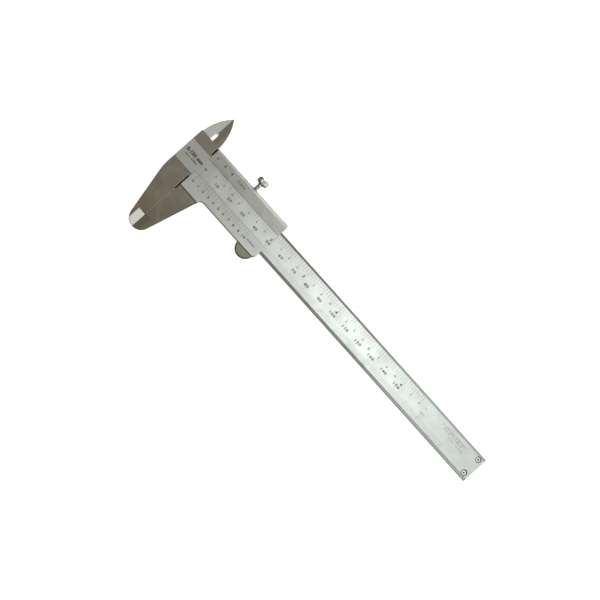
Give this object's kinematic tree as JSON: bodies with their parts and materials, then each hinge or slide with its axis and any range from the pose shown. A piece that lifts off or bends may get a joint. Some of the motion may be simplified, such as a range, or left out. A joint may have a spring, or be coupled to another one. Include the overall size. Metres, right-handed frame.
{
  "type": "vernier caliper",
  "caption": "Vernier caliper with outside and inside jaws, a slider with thumb rest, a knurled clamp screw and a depth bar, closed and lying on its back.",
  "frame": {"origin": "bottom centre of the outer box, on the plane that the caliper lies on", "axes": "+X along the beam away from the jaws, +Y towards the inside jaws, +Z out of the scale face"},
  "size_m": [0.2276, 0.0774, 0.0064],
  "materials": {
    "hardened_steel": "satin scale band, fine ground jaws and ledges",
    "satin_chrome": "satin chrome",
    "bronze": "plain rolled",
    "dark_steel": "black oxide",
    "bright_chrome": "bright chrome, knurled",
    "ground_steel": "ground along its length",
    "plate_steel": "satin",
    "screw_steel": "turned"
  },
  "bodies": {
    "beam": {"main_beam": "hardened_steel", "stop_plate": "plate_steel", "stop_screw_upper": "screw_steel", "stop_screw_lower": "screw_steel"},
    "slider": {"slider_body": "satin_chrome", "gib_strip": "bronze", "gib_screw_front": "dark_steel", "gib_screw_rear": "dark_steel", "depth_bar": "ground_steel", "depth_bar_plate": "plate_steel", "plate_screw_front": "screw_steel", "plate_screw_rear": "screw_steel"},
    "clamp_screw": {"clamp_screw": "bright_chrome"}
  },
  "joints": [
    {"name": "slider_travel", "type": "slide", "parent": "beam", "child": "slider", "axis": [1, 0, 0], "range_m": [0, 0.152]},
    {"name": "clamp_turn", "type": "hinge", "parent": "slider", "child": "clamp_screw", "pos_m": [-0.0722, 0.0223, 0.00325], "axis": [0, 1, 0], "range_deg": [-45, 360]}
  ]
}
